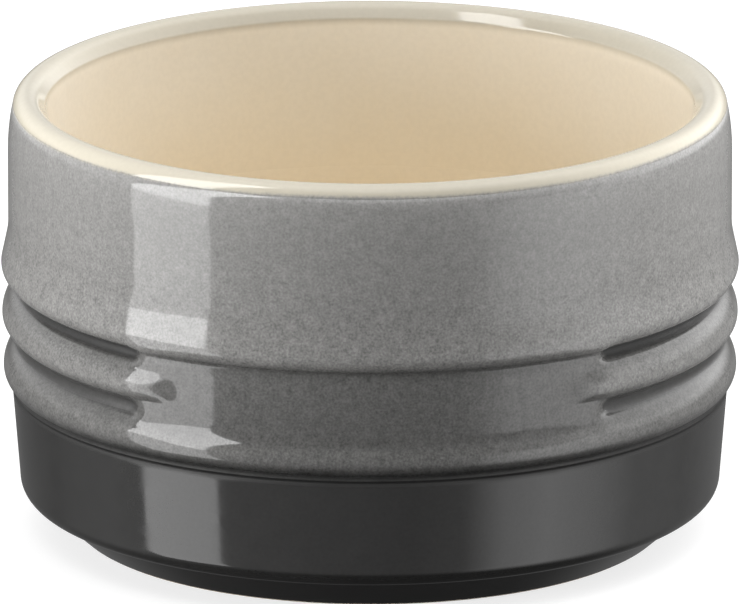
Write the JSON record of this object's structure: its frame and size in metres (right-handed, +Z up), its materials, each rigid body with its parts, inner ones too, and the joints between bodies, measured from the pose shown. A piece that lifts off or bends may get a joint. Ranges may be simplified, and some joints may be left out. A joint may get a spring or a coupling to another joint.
{
  "type": "ramekin",
  "caption": "Round stackable ramekin of glazed stoneware with raised rings round its lower half, a bare flat panel, a rounded rim and a conical foot.",
  "frame": {"origin": "centre of the foot ring, on the surface that the pot stands on", "axes": "+Z up along the pot's axis, -Y towards the middle of the panel between the ends of the middle ring"},
  "size_m": [0.09, 0.09, 0.0545],
  "materials": {
    "stoneware": "bare fired clay, matt",
    "cream_glaze": "glossy cream glaze",
    "grey_glaze": "glossy glaze fading from pale grey at the rim to mid grey at the rings, finely speckled",
    "charcoal_glaze": "glossy charcoal glaze"
  },
  "bodies": {
    "root": {"stoneware_body": "stoneware", "liner_glaze": "cream_glaze", "upper_outer_glaze": "grey_glaze", "lower_outer_glaze": "charcoal_glaze", "base_glaze": "charcoal_glaze"}
  },
  "joints": []
}
